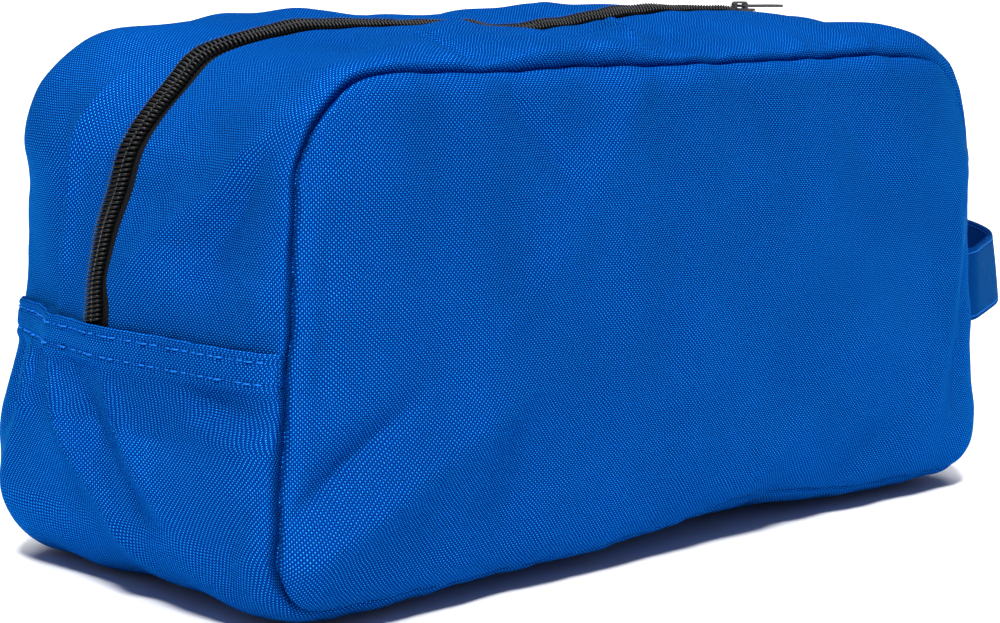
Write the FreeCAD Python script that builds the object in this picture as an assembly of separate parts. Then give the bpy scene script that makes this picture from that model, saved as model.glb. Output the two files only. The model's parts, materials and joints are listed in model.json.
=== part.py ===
"""Zipped shoe bag of woven polyester, as separate sewn pieces.

Millimetres. +X runs along the bag to the end with the carry handle, -Y is the front, +Z is up.
The origin is the middle of the flat base, which stands on the floor.

The front and back panels are crowned and meet a gusset along two seams. The gusset follows one
outline, a trapezium with round corners, and swells outward between the seams. Its lower half is
one strip of cloth under the bag and up both ends. Its upper half is two strips with a coil zip
between them. Each upper strip is one length of cloth on the real bag: here it is cut at the
shoulders, so that the stretch over the top can turn on its seam as a lip of the mouth.
"""
import FreeCAD, Part
import math
import os

V = FreeCAD.Vector

# Bag outline in the seam planes
HALF_BASE = 176.0        # half length at the lower seam
HALF_TOP = 167.0         # half length at the upper seam
SEAM_LOW = 9.2           # height of the lower seam
SEAM_HIGH = 178.0        # height of the upper seam
HALF_DEPTH = 76.0        # seam plane to the middle of the bag
CORNER_BASE = 28.0       # outline radius at the lower corners
CORNER_TOP = 42.0        # outline radius at the shoulders

# Cloth
CLOTH = 1.0              # coated cloth with its seam allowance, as one layer
GAP = 0.15               # between two layers that lie on each other
CROWN_TOP = 11.0         # how far the gusset swells between its seams, over the top
CROWN_END = 18.0         # the same at the two ends
CROWN_DIP = 7.5          # how much the swelling falls off at the shoulders
PANEL_CROWN = 11.0       # how far the front and back panels swell
PANEL_INNER = 0.985      # a panel's inner face, as a share of its outline
FLAT_BASE = 0.6          # share of the base's half depth that is flat
FLAT_ZIP = 0.2           # share of the half depth that is flat under the zip
FOLD_HEIGHT = 91.0       # top edge of the lower gusset at both ends
HEM_HEIGHT = 13.0        # folded hem along that edge
HEM_CLOTH = 0.7          # extra thickness of the hem
HEM_COVER = 12.0         # length of zip strip hidden behind the hem

# Zip
STRIP_EDGE = 5.5         # middle of the zip to the cloth's folded edge
TAPE_WIDE = 15.0         # middle of the zip to the tape's outer edge
ZIP_SPLIT = 0.6          # middle of the zip to each half
COIL_EDGE = 3.5          # middle of the zip to a coil's outer edge
COIL_TOP = 1.3           # coil above the cloth's outer face
TAPE_THICK = 0.6
LIP_HALF = 105.5         # half length of the stretch that opens
LIP_GAP = 0.4            # cut between a lip and the fixed shoulder
LIP_SEAM_GAP = 0.3       # seam plane to the edge of a lip

# Slider and pull
SLIDER_X = 112.0         # where the slider stands when the bag is shut
SLIDER_LONG = 11.0
SLIDER_HALF_WIDE = 4.7
PLATE = 1.0
PLATE_CORNER = 2.0
CHANNEL_CLEAR = 0.4      # over the coil and under the tape
FLANGE = 0.9
WEB_LONG = 6.8           # length of the web and the flanges
BRIDGE_LONG = 8.0
BRIDGE_HIGH = 2.8
BRIDGE_WIDE = 2.0
BRIDGE_ROUND = 1.6
WINDOW_LONG = 4.6
WINDOW_HIGH = 1.9
PIN_RADIUS = 0.55
PULL_LONG = 25.0
PULL_WIDE = 7.0
PULL_THICK = 1.1
PULL_ARM = 1.4           # width of each arm beside the bridge
PULL_NECK = 6.5          # pin to the solid part of the pull
SLOT_LONG = 6.0          # slot at the pull's tip, between its round ends
SLOT_RIM = 2.0           # side of the pull to the slot

# Carry handle
STRAP_WIDE = 30.0
STRAP_THICK = 2.4
STRAP_HEIGHT = 82.0      # height of the strap's middle
STRAP_CLEAR = 0.3        # tab to loop, and tab to bag
PIVOT_OUT = 3.2          # outline to the line that the loop turns on
TAB_RADIUS = 6.0         # round end of the tab, about that line
NOTCH_SLOPE = 33.0       # slant of the loop's ends, so that they swing clear of the bag, degrees
LOOP_TURN = 45.0         # first bend of the loop, degrees
SIDE_BEND = 23.0         # radius of that bend
APEX_BEND = 40.0         # radius of the bend at the loop's far point

# Inner seam binding
BINDING_IN = 1.6         # outline to the binding's outer edge
BINDING_WIDE = 8.5
BINDING_THICK = 2.4

TILT = math.atan2(HALF_BASE - HALF_TOP, SEAM_HIGH - SEAM_LOW)
ZIP_FACE = SEAM_HIGH + CROWN_TOP
CROWN_BASE = SEAM_LOW - CLOTH - GAP
END_X = HALF_BASE - (STRAP_HEIGHT - SEAM_LOW) * math.tan(TILT)
PIVOT_X = END_X + PIVOT_OUT


def corner_centre(half, seam, radius, side):
    """Centre of an outline corner on the +X side. side is -1 at the base and 1 at the top."""
    x = half - radius * (1 - side * math.sin(TILT)) / math.cos(TILT)
    return x, seam - side * radius


def place_on_corner(half, seam, radius, side, angle):
    """Outline point and normal angle, in radians, on a corner of the +X side."""
    cx, cz = corner_centre(half, seam, radius, side)
    return cx + radius * math.cos(angle), cz + radius * math.sin(angle), angle


def place_on_side(height):
    """Outline point and normal angle on the slanted +X side."""
    return HALF_BASE - (height - SEAM_LOW) * math.tan(TILT), height, TILT


def ease(t):
    return t * t * (3 - 2 * t)


def crown_at(angle):
    """Swelling of the gusset and its flat share, where the outline's normal has this angle."""
    quarter = math.pi / 2
    if angle >= TILT:
        t = (angle - TILT) / (quarter - TILT)
        mean = CROWN_END + (CROWN_TOP - CROWN_END) * ease(t)
        return mean - CROWN_DIP * math.sin(math.pi * t) ** 2, FLAT_ZIP
    t = (angle + quarter) / (quarter + TILT)
    crown = CROWN_BASE + (CROWN_END - CROWN_BASE) * ease(t)
    return crown, FLAT_BASE + (FLAT_ZIP - FLAT_BASE) * ease(t)


def swell(y, crown, flat):
    """Height of the gusset's face over the outline at depth y."""
    share = max(abs(y) / HALF_DEPTH - flat, 0.0) / (1 - flat)
    return crown * (1 - share * share)


def face_point(place, y, offset):
    """Point over the outline at one place, at depth y, that far above the gusset's face."""
    x, z, angle = place
    crown, flat = crown_at(angle)
    out = swell(y, crown, flat) + offset
    return V(x + out * math.cos(angle), y, z + out * math.sin(angle))


def face_curve(place, y0, y1, offset):
    """The gusset's section between two depths, an exact parabola or line."""
    start, end = face_point(place, y0, offset), face_point(place, y1, offset)
    crown, flat = crown_at(place[2])
    edge = flat * HALF_DEPTH
    if abs(y0) <= edge + 1e-6 and abs(y1) <= edge + 1e-6:
        return Part.makeLine(start, end)
    middle = face_point(place, (y0 + y1) / 2, offset)
    curve = Part.BezierCurve()
    curve.setPoles([start, middle * 2 - (start + end) * 0.5, end])
    return curve.toShape()


def section(place, y0, y1, outer, inner):
    """Closed section of a strip between two depths, from one offset down to another."""
    edge = crown_at(place[2])[1] * HALF_DEPTH
    stops = [y0] + [y for y in (-edge, edge) if y0 + 1e-6 < y < y1 - 1e-6] + [y1]
    spans = list(zip(stops[:-1], stops[1:]))
    edges = [face_curve(place, a, b, outer) for a, b in spans]
    edges.append(Part.makeLine(face_point(place, y1, outer), face_point(place, y1, inner)))
    edges += [face_curve(place, b, a, inner) for a, b in reversed(spans)]
    edges.append(Part.makeLine(face_point(place, y0, inner), face_point(place, y0, outer)))
    return Part.Wire(edges)


def strip(places, y0, y1, outer, inner):
    """Solid strip of cloth along the outline."""
    wires = [section(p, y0, y1, outer, inner) for p in places]
    return Part.makeLoft(wires, True, True)


def places_up_corner(half, seam, radius, side, start, end, steps):
    """Places round a corner of the outline."""
    angles = [start + (end - start) * i / steps for i in range(steps + 1)]
    return [place_on_corner(half, seam, radius, side, a) for a in angles]


def end_places():
    """Lower gusset at the +X end: round the base corner and up to the fold."""
    corner = places_up_corner(HALF_BASE, SEAM_LOW, CORNER_BASE, -1, -math.pi / 2, TILT, 8)
    top = corner[-1][1]
    rise = [top + (FOLD_HEIGHT - top) * i / 3 for i in (1, 2, 3)]
    return corner + [place_on_side(z) for z in rise]


def shoulder(y0, y1, outer, inner):
    """Upper gusset at the +X end: from the hem, round the shoulder, to the lip.

    Cloth and tape reach down behind the hem. The coil, which is proud of them, stops above it.
    """
    corner = places_up_corner(HALF_TOP, SEAM_HIGH, CORNER_TOP, 1, TILT, math.pi / 2, 10)
    bottom = FOLD_HEIGHT + (LIP_GAP if outer > 0 else -HEM_COVER)
    top = corner[0][1]
    rise = [place_on_side(bottom + (top - bottom) * i / 3) for i in range(3)]
    bent = strip(rise + corner, y0, y1, outer, inner)
    flat = strip(top_places(LIP_HALF + LIP_GAP, corner[-1][0]), y0, y1, outer, inner)
    return bent.fuse(flat).removeSplitter()


def top_places(x0, x1):
    """Two places on the straight top of the outline."""
    return [(x, SEAM_HIGH, math.pi / 2) for x in (x0, x1)]


def flipped(shape, x=False, y=False):
    """A mirrored copy, across the middle of the length, of the depth, or both."""
    if x:
        shape = shape.mirror(V(0, 0, 0), V(1, 0, 0))
    if y:
        shape = shape.mirror(V(0, 0, 0), V(0, 1, 0))
    return shape


def outline_wire(y, scale=1.0, inset=0.0):
    """The closed outline in a plane of constant y, scaled about its middle or inset."""
    half_b, half_t = HALF_BASE - inset, HALF_TOP - inset
    low, high = SEAM_LOW + inset, SEAM_HIGH - inset
    mid = (SEAM_LOW + SEAM_HIGH) / 2
    quarter = math.pi / 2
    base = (half_b, low, CORNER_BASE - inset, -1)
    top = (half_t, high, CORNER_TOP - inset, 1)
    arcs = []
    for corner, start, end in ((base, -quarter, TILT), (top, TILT, quarter)):
        arcs.append([place_on_corner(*corner, start + (end - start) * t)[:2] for t in (0, 0.5, 1)])
    arcs += [[(-x, z) for x, z in reversed(arc)] for arc in reversed(arcs)]
    arcs = [[V(x * scale, y, mid + (z - mid) * scale) for x, z in arc] for arc in arcs]
    edges = []
    for arc, following in zip(arcs, arcs[1:] + arcs[:1]):
        edges.append(Part.Arc(*arc).toShape())
        edges.append(Part.makeLine(arc[2], following[0]))
    return Part.Wire(edges)


def dome(shrink, lift):
    """The front panel's swelling as a full solid, cut off at the middle of the panel."""
    shares = (1.0, 0.95, 0.88, 0.78, 0.66, 0.52, 0.36)
    wires = [outline_wire(-HALF_DEPTH - PANEL_CROWN * (1 - s ** 3) + lift, s * shrink) for s in shares]
    return Part.makeLoft(wires, True, True)


def front_panel():
    """Crowned sheet whose rim lies in the seam plane."""
    shell = dome(1.0, 0.0).cut(dome(PANEL_INNER, CLOTH))
    keep = Part.makeBox(4 * HALF_BASE, 4 * PANEL_CROWN, 2 * SEAM_HIGH)
    keep.translate(V(-2 * HALF_BASE, -HALF_DEPTH - 4 * PANEL_CROWN, -SEAM_HIGH / 2))
    return shell.common(keep)


def seam_binding():
    """Tape bound round the front seam's allowance, inside the bag."""
    y = -HALF_DEPTH + GAP
    outer = Part.Face(outline_wire(y, inset=BINDING_IN))
    inner = Part.Face(outline_wire(y, inset=BINDING_IN + BINDING_WIDE))
    return outer.cut(inner).extrude(V(0, BINDING_THICK, 0))


def base_gusset():
    """Cloth under the bag and up both ends to a folded hem."""
    low, high = GAP, GAP + CLOTH
    centre_x = corner_centre(HALF_BASE, SEAM_LOW, CORNER_BASE, -1)[0]
    floor = [(x, SEAM_LOW, -math.pi / 2) for x in (-centre_x, centre_x)]
    cloth = strip(floor, -HALF_DEPTH, HALF_DEPTH, high, low)
    end = strip(end_places(), -HALF_DEPTH, HALF_DEPTH, high, low)
    hem_places = [place_on_side(z) for z in (FOLD_HEIGHT - HEM_HEIGHT, FOLD_HEIGHT)]
    hem = strip(hem_places, -HALF_DEPTH, HALF_DEPTH, high + HEM_CLOTH, high - CLOTH / 2)
    end = end.fuse(hem)
    return cloth.fuse([end, flipped(end, x=True)]).removeSplitter()


def zip_bands():
    """Depths and offsets of the front half of the zip gusset: cloth, tape and coil."""
    tape_top = -CLOTH - GAP
    return {
        "zip_strip": (-HALF_DEPTH, -STRIP_EDGE, 0.0, -CLOTH),
        "zip_tape": (-TAPE_WIDE, -ZIP_SPLIT, tape_top, tape_top - TAPE_THICK),
        "zip_coil": (-COIL_EDGE, -ZIP_SPLIT, COIL_TOP, -CLOTH),
    }


def zip_gusset(parts):
    """Both lips and the four shoulders of the zip gusset."""
    for name, (y0, y1, outer, inner) in zip_bands().items():
        lip_edge = max(y0, -HALF_DEPTH + LIP_SEAM_GAP)
        lip = strip(top_places(-LIP_HALF, LIP_HALF), lip_edge, y1, outer, inner)
        fixed = shoulder(y0, y1, outer, inner)
        for side, back in (("front", False), ("back", True)):
            parts[f"{name}_{side}_lip"] = flipped(lip, y=back)
            for end, left in (("left", True), ("right", False)):
                parts[f"{name}_{side}_{end}"] = flipped(fixed, x=left, y=back)


def centred_box(x, y, z, long, wide, low, high):
    """Box centred on x and y, between two heights over z."""
    box = Part.makeBox(long, wide, high - low)
    box.translate(V(x - long / 2, y - wide / 2, z + low))
    return box


def slider_body():
    """Two plates joined by a thin web that runs in the split between the coils."""
    roof = COIL_TOP + CHANNEL_CLEAR
    floor = -CLOTH - GAP - TAPE_THICK - CHANNEL_CLEAR
    wide = 2 * SLIDER_HALF_WIDE

    def block(long, across, low, high, y=0.0):
        return centred_box(SLIDER_X, y, ZIP_FACE, long, across, low, high)

    def plate(low):
        slab = block(SLIDER_LONG, wide, low, low + PLATE)
        upright = [e for e in slab.Edges if abs(e.tangentAt(e.FirstParameter).z) > 0.9]
        return slab.makeFillet(PLATE_CORNER, upright)

    flange_y = SLIDER_HALF_WIDE - FLANGE / 2
    flanges = [block(WEB_LONG, FLANGE, -CLOTH + CHANNEL_CLEAR, roof + PLATE / 2, y)
               for y in (-flange_y, flange_y)]
    web = block(WEB_LONG, ZIP_SPLIT, floor - PLATE / 2, roof + PLATE / 2)
    top = roof + PLATE
    bridge = block(BRIDGE_LONG, BRIDGE_WIDE, top - PLATE / 2, top + BRIDGE_HIGH)
    ends = [e for e in bridge.Edges
            if abs(e.tangentAt(e.FirstParameter).y) > 0.9 and e.CenterOfMass.z > ZIP_FACE + top + 1]
    bridge = bridge.makeFillet(BRIDGE_ROUND, ends)
    window = block(WINDOW_LONG, 2 * BRIDGE_WIDE, top, top + WINDOW_HIGH)
    body = plate(roof).fuse([plate(floor - PLATE), web, bridge.cut(window)] + flanges)
    return body.removeSplitter()


def pin_height():
    """Height of the pull's pin, in the middle of the slider's window."""
    return ZIP_FACE + COIL_TOP + CHANNEL_CLEAR + PLATE + WINDOW_HIGH / 2


def pull_tab():
    """Pin through the slider's bridge, two arms beside it, and a plate with a slot."""
    z = pin_height()
    half = PULL_WIDE / 2
    tip = SLIDER_X + PULL_LONG - half
    blank = centred_box((SLIDER_X + tip) / 2, 0, z, tip - SLIDER_X, PULL_WIDE, -PULL_THICK / 2, PULL_THICK / 2)
    end = Part.makeCylinder(half, PULL_THICK, V(tip, 0, z - PULL_THICK / 2))
    plate = blank.fuse(end)
    notch = centred_box(SLIDER_X, 0, z, 2 * PULL_NECK, PULL_WIDE - 2 * PULL_ARM, -PULL_THICK, PULL_THICK)
    slot_r = half - SLOT_RIM
    slot = Part.makeCylinder(slot_r, 2 * PULL_THICK, V(tip, 0, z - PULL_THICK))
    slot = slot.fuse(centred_box(tip - SLOT_LONG / 2, 0, z, SLOT_LONG, 2 * slot_r, -PULL_THICK, PULL_THICK))
    slot = slot.fuse(Part.makeCylinder(slot_r, 2 * PULL_THICK, V(tip - SLOT_LONG, 0, z - PULL_THICK)))
    pin = Part.makeCylinder(PIN_RADIUS, PULL_WIDE, V(SLIDER_X, -half, z), V(0, 1, 0))
    return plate.cut(notch.fuse(slot)).fuse(pin).removeSplitter()


def loop_path():
    """Middle line of the handle's loop in plan, from the front seam round to the back."""
    turn = math.radians(LOOP_TURN)

    def on_side_bend(angle):
        run, rise = SIDE_BEND * math.sin(angle), SIDE_BEND * (1 - math.cos(angle))
        return V(PIVOT_X + run, -HALF_DEPTH + rise, STRAP_HEIGHT)

    start, middle, end = (on_side_bend(turn * t) for t in (0, 0.5, 1))
    run = (-APEX_BEND * math.cos(turn) - end.y) / math.sin(turn)
    far = end + V(math.cos(turn), math.sin(turn), 0) * run
    apex = V(far.x + APEX_BEND * (1 - math.sin(turn)), 0, STRAP_HEIGHT)

    def back(p):
        return V(p.x, -p.y, p.z)

    return Part.Wire([
        Part.Arc(start, middle, end).toShape(),
        Part.makeLine(end, far),
        Part.Arc(far, apex, back(far)).toShape(),
        Part.makeLine(back(far), back(end)),
        Part.Arc(back(end), back(middle), back(start)).toShape(),
    ])


def end_notch(y):
    """What is cut from an end of the loop: a round about its pivot and a slope each side."""
    half, deep = STRAP_WIDE, SIDE_BEND / 2
    reach = half * math.tan(math.radians(NOTCH_SLOPE))
    points = [V(reach, 0, half), V(0, 0, 0), V(reach, 0, -half), V(-deep, 0, -half), V(-deep, 0, half)]
    wedge = Part.Face(Part.makePolygon(points + points[:1])).extrude(V(0, 2 * deep, 0))
    wedge.translate(V(PIVOT_X, y - deep, STRAP_HEIGHT))
    hub = Part.makeCylinder(TAB_RADIUS + STRAP_CLEAR, 2 * deep, V(PIVOT_X, y - deep, STRAP_HEIGHT), V(0, 1, 0))
    return wedge.fuse(hub)


def handle_loop():
    """The strap's free loop, which turns on the line through its two sewn ends."""
    half, thick = STRAP_WIDE / 2, STRAP_THICK / 2
    corners = [(-thick, -half), (thick, -half), (thick, half), (-thick, half)]
    points = [V(PIVOT_X, -HALF_DEPTH + a, STRAP_HEIGHT + b) for a, b in corners]
    profile = Part.makePolygon(points + points[:1])
    loop = loop_path().makePipeShell([profile], True, True)
    return loop.cut(end_notch(-HALF_DEPTH).fuse(end_notch(HALF_DEPTH)))


def handle_tab():
    """The front end of the strap, where it leaves the side seam."""
    start = END_X + CLOTH + GAP + HEM_CLOTH + 3 * STRAP_CLEAR
    y = -HALF_DEPTH - STRAP_THICK / 2
    tab = Part.makeCylinder(TAB_RADIUS, STRAP_THICK, V(PIVOT_X, y, STRAP_HEIGHT), V(0, 1, 0))
    keep = Part.makeBox(2 * TAB_RADIUS, STRAP_THICK, 2 * TAB_RADIUS)
    keep.translate(V(start, y, STRAP_HEIGHT - TAB_RADIUS))
    return tab.common(keep)


def build():
    parts = {"base_gusset": base_gusset()}
    panel, binding, tab = front_panel(), seam_binding(), handle_tab()
    for side, back in (("front", False), ("back", True)):
        parts[f"{side}_panel"] = flipped(panel, y=back)
        parts[f"seam_binding_{side}"] = flipped(binding, y=back)
        parts[f"handle_tab_{side}"] = flipped(tab, y=back)
    zip_gusset(parts)
    parts["zip_slider"] = slider_body()
    parts["pull_tab"] = pull_tab()
    parts["handle_loop"] = handle_loop()
    return parts


os.makedirs("parts", exist_ok=True)
for name, shape in build().items():
    solids = shape.Solids
    if not shape.isValid() or not solids:
        raise ValueError(f"{name} isn't a valid solid")
    shape = solids[0] if len(solids) == 1 else Part.makeCompound(solids)
    shape.exportStep(f"parts/{name}.step")
    print(name, len(solids), round(shape.Volume), shape.BoundBox)
print("pivot x", round(PIVOT_X, 2), "zip face", ZIP_FACE, "pin height", round(pin_height(), 3))
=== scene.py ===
"""Looks of the zipped shoe bag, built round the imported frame.

The bag's cloth is laid out on one outline, the seam between the gusset and the panels. s runs along
that outline from the middle of the base towards +X and round, and t runs across the gusset from the
front seam (-1) to the back seam (1). Lengths are millimetres until a mesh is made.
"""
import json
import math

import bpy
import numpy as np
from mathutils import Matrix, Vector
from mathutils.kdtree import KDTree


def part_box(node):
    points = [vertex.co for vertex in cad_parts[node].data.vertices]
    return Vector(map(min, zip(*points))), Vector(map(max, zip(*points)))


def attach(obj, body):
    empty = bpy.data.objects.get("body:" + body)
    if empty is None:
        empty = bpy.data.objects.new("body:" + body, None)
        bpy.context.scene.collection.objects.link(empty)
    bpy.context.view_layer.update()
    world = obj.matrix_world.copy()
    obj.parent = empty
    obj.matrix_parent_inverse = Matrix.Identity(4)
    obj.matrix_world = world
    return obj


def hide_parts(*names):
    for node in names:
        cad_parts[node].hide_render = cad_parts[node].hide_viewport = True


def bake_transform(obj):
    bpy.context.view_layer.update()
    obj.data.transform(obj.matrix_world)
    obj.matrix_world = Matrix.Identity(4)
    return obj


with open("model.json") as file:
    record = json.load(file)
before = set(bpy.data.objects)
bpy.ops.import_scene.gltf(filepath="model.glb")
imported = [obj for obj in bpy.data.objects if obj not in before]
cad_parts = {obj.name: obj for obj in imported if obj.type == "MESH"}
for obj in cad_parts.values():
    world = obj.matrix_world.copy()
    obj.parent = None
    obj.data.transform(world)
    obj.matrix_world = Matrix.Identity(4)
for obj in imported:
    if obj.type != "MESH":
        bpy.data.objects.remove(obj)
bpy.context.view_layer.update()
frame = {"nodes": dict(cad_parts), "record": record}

MM = 0.001


def box_mm(node):
    """Lowest and highest corner of a CAD node, in millimetres."""
    low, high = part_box(node)
    return np.array(low) / MM, np.array(high) / MM


PANEL_LOW, PANEL_HIGH = box_mm("front_panel")
GUSSET_HIGH = box_mm("base_gusset")[1]
LOOP_LOW, LOOP_HIGH = box_mm("handle_loop")

# Seam outline
DEPTH = GUSSET_HIGH[1]                 # seam plane to the middle of the bag
SEAM_LOW = PANEL_LOW[2]
SEAM_TOP = PANEL_HIGH[2] - 2.6
HALF_LOW = PANEL_HIGH[0] + 2.8         # half length at the lower seam, if its corners were sharp
HALF_TOP = HALF_LOW - 11.2
RADIUS_LOW = 18.0
RADIUS_TOP = 36.0
STEP = 1.6                             # spacing of the cloth's grid
CLOTH = 1.0
FOLD = GUSSET_HIGH[2] - 0.4            # top edge of the lower gusset at the ends
HEM_HIGH = 13.0
HEM_ROWS = (3.0, 9.8)                  # stitch rows, down from the fold
ZIP_EDGE_FRONT = 7.2                   # middle of the zip to the cloth's folded edges
ZIP_EDGE_BACK = 5.6
SEAM_SINK = 3.0                        # how deep the seams draw the cloth in, each way
SEAM_REACH = 0.65                      # how narrow their groove is
SEAM_SWELL = 0.9                       # how far the cloth swells over it
WEAVE = 0.72                           # yarn spacing
RIM_ANGLE = math.radians(60)           # edges sharper than this aren't shaded smooth


# ---------------------------------------------------------------- outline

def filleted(points, radii, step):
    """Dense closed polyline with rounded corners."""
    out = []
    count = len(points)
    for i, (corner, radius) in enumerate(zip(points, radii)):
        before = np.subtract(points[i - 1], corner)
        after = np.subtract(points[(i + 1) % count], corner)
        before, after = before / np.linalg.norm(before), after / np.linalg.norm(after)
        half = math.acos(np.dot(before, after)) / 2
        centre = corner + (before + after) / np.linalg.norm(before + after) * radius / math.sin(half)
        start = corner + before * radius / math.tan(half)
        a0 = math.atan2(*(start - centre)[::-1])
        turn = math.pi - 2 * half
        for a in np.linspace(0, turn, max(3, int(turn * radius / step))):
            out.append(centre + radius * np.array([math.cos(a0 + a), math.sin(a0 + a)]))
    return np.array(out)


class Outline:
    """The seam outline in x and z, by distance s along it."""

    def __init__(self):
        corners = [(HALF_LOW, SEAM_LOW), (HALF_TOP, SEAM_TOP),
                   (-HALF_TOP, SEAM_TOP), (-HALF_LOW, SEAM_LOW)]
        radii = (RADIUS_LOW, RADIUS_TOP, RADIUS_TOP, RADIUS_LOW)
        ring = filleted(corners, radii, 0.5)
        ring = np.vstack([[0.0, SEAM_LOW], ring, [0.0, SEAM_LOW]])
        self.at = np.concatenate([[0], np.cumsum(np.linalg.norm(np.diff(ring, axis=0), axis=1))])
        self.ring = ring
        self.length = self.at[-1]

    def __call__(self, s):
        """Points on the outline and outward normals."""
        def place(q):
            q = np.mod(q, self.length)
            return np.stack([np.interp(q, self.at, self.ring[:, k]) for k in (0, 1)], -1)

        ahead = place(s + 2.0) - place(s - 2.0)
        ahead /= np.linalg.norm(ahead, axis=-1, keepdims=True)
        return place(s), np.stack([ahead[..., 1], -ahead[..., 0]], -1)

    def nearest(self, x, z):
        """Distance along the outline of the point nearest to x, z."""
        s = np.linspace(0, self.length, 4000)
        return s[np.argmin(np.linalg.norm(self(s)[0] - (x, z), axis=1))]


OUTLINE = Outline()


def normal_at(s):
    """The outline's outward normal as a direction in space."""
    normal = OUTLINE(s)[1]
    return np.stack([normal[..., 0], np.zeros_like(normal[..., 0]), normal[..., 1]], -1)


def on_side(sign, z):
    """Place along the outline at height z on the side with that sign of x."""
    return OUTLINE.nearest(sign * HALF_LOW, z)


def on_top(x):
    return OUTLINE.nearest(x, SEAM_TOP)


def bell(x, centre, width):
    return np.exp(-((x - centre) / width) ** 2)


def rise(away, reach):
    """0 at a seam, growing to 1 well away from it."""
    return 1 - np.exp(-away / reach)


def between(x, low, high, soft):
    """1 between two values, falling off smoothly outside them."""
    return 1 / (1 + np.exp(-(x - low) / soft)) / (1 + np.exp((x - high) / soft))


def wave(x, lengths, seed):
    """Smooth uneven wave of about unit height."""
    rng = np.random.default_rng(seed)
    total = sum(np.sin(2 * np.pi * x / length + rng.uniform(0, 6.28)) for length in lengths)
    return total / math.sqrt(len(lengths))


def round_wave(s, lengths, seed):
    """The same round the outline, meeting itself."""
    return wave(s, [OUTLINE.length / round(OUTLINE.length / length) for length in lengths], seed)


BASE_ARCH = 6.5                        # how far the lower seams rise off the ground
TOP_DIP, TOP_RISE = 0.8, 1.2           # the upper seams' low place and high place
HANDLE_PULL = 5.4                      # how far the strap draws its end's seams in
CORNER_PULL = 4.0                      # and how far the front seam's upper corner there lies in
SEAM_RIPPLE, SEAM_WANDER = 0.32, 0.7   # unevenness of the seams, in their plane and across it


def seam(s, side):
    """Points of the sewn seam itself. side is -1 at the front and 1 at the back."""
    flat, normal = OUTLINE(s)
    x, z = flat[..., 0], flat[..., 1]
    low = bell(z, SEAM_LOW, 12)
    top = bell(z, SEAM_TOP, 12)
    lift = BASE_ARCH * low * bell(x, 38 * -side, 50)
    lift = lift - TOP_DIP * top * bell(x, -91, 10) + TOP_RISE * top * bell(x, 95, 30)
    x = x - HANDLE_PULL * between(z, 45, 152, 10) * (x > 0)
    inset = CORNER_PULL * bell(s, corner(RIGHT, True), 26) * (side < 0)
    ripple = SEAM_RIPPLE * round_wave(s, (87, 49, 31, 19), 3 + side) - inset
    depth = side * (DEPTH + SEAM_WANDER * round_wave(s, (120, 71, 33), 9 + side))
    return np.stack([x + normal[..., 0] * ripple, depth, z + lift + normal[..., 1] * ripple], -1)


# Places of the first rows of the grid, in from a seam
FINE = np.array([0, 0.3, 0.6, 0.95, 1.4, 2.0, 2.8, 4.0])


def graded(low, high, step=STEP):
    """Values from low to high, closer together at both ends."""
    span = abs(high - low)
    inner = np.linspace(FINE[-1], span - FINE[-1], max(2, int((span - 2 * FINE[-1]) / step)))
    steps = np.concatenate([FINE[:-1], inner, span - FINE[:-1][::-1]])
    return low + math.copysign(1, high - low) * steps


# ---------------------------------------------------------------- gusset

class Stations:
    """A value along the outline, set at a few places and smooth between them."""

    smoothing = 10.0

    def __init__(self, places):
        places = sorted(places)
        at = np.array([p[0] for p in places])
        value = np.array([p[1] for p in places])
        full = np.concatenate([at - OUTLINE.length, at, at + OUTLINE.length])
        self.grid = np.arange(0, OUTLINE.length, 1.0)
        raw = np.interp(self.grid, full, np.tile(value, 3))
        kernel = bell(np.arange(-40, 41), 0, self.smoothing)
        smooth = np.convolve(np.tile(raw, 3), kernel / kernel.sum(), "same")
        self.value = smooth[len(raw):2 * len(raw)]

    def __call__(self, s):
        return np.interp(np.mod(s, OUTLINE.length), self.grid, self.value, period=OUTLINE.length)


LEFT, RIGHT = -1, 1


def on_base(x):
    return OUTLINE.nearest(x, 0)


def corner(sign, high):
    """Place along the outline at the middle of one of its four corners."""
    return OUTLINE.nearest(sign * 400, 400 if high else -220)


# How far the gusset stands out from its seams: along the zip and the middle of the base, and at
# its front and back edges. The domes are what it swells by between those.
MIDDLE = Stations([
    (on_base(0), 17), (on_base(-60), 16), (on_base(-110), 14), (on_base(-140), 9.5),
    (on_base(40), 22), (on_base(75), 16), (on_base(104), 12), (on_base(140), 10),
    (corner(RIGHT, False), 6), (on_side(RIGHT, 40), 15), (on_side(RIGHT, 60), 17),
    (on_side(RIGHT, 91), 18), (on_side(RIGHT, 112), 16), (on_side(RIGHT, 132), 13),
    (on_side(RIGHT, 152), 8), (corner(RIGHT, True), 7),
    (on_top(120), 12.6), (on_top(106), 13.5), (on_top(92), 15.0), (on_top(60), 15.6),
    (on_top(33), 13.2), (on_top(5), 9.2), (on_top(-16), 8.2), (on_top(-60), 10.2),
    (on_top(-90), 12), (on_top(-112), 10.8), (on_top(-122), 8.4),
    (corner(LEFT, True), 0.8), (on_side(LEFT, 150), 6.6), (on_side(LEFT, 130), 13),
    (on_side(LEFT, 111), 16.4), (on_side(LEFT, 91), 18), (on_side(LEFT, 60), 17),
    (on_side(LEFT, 42), 13.5), (corner(LEFT, False), 4)])
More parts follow.
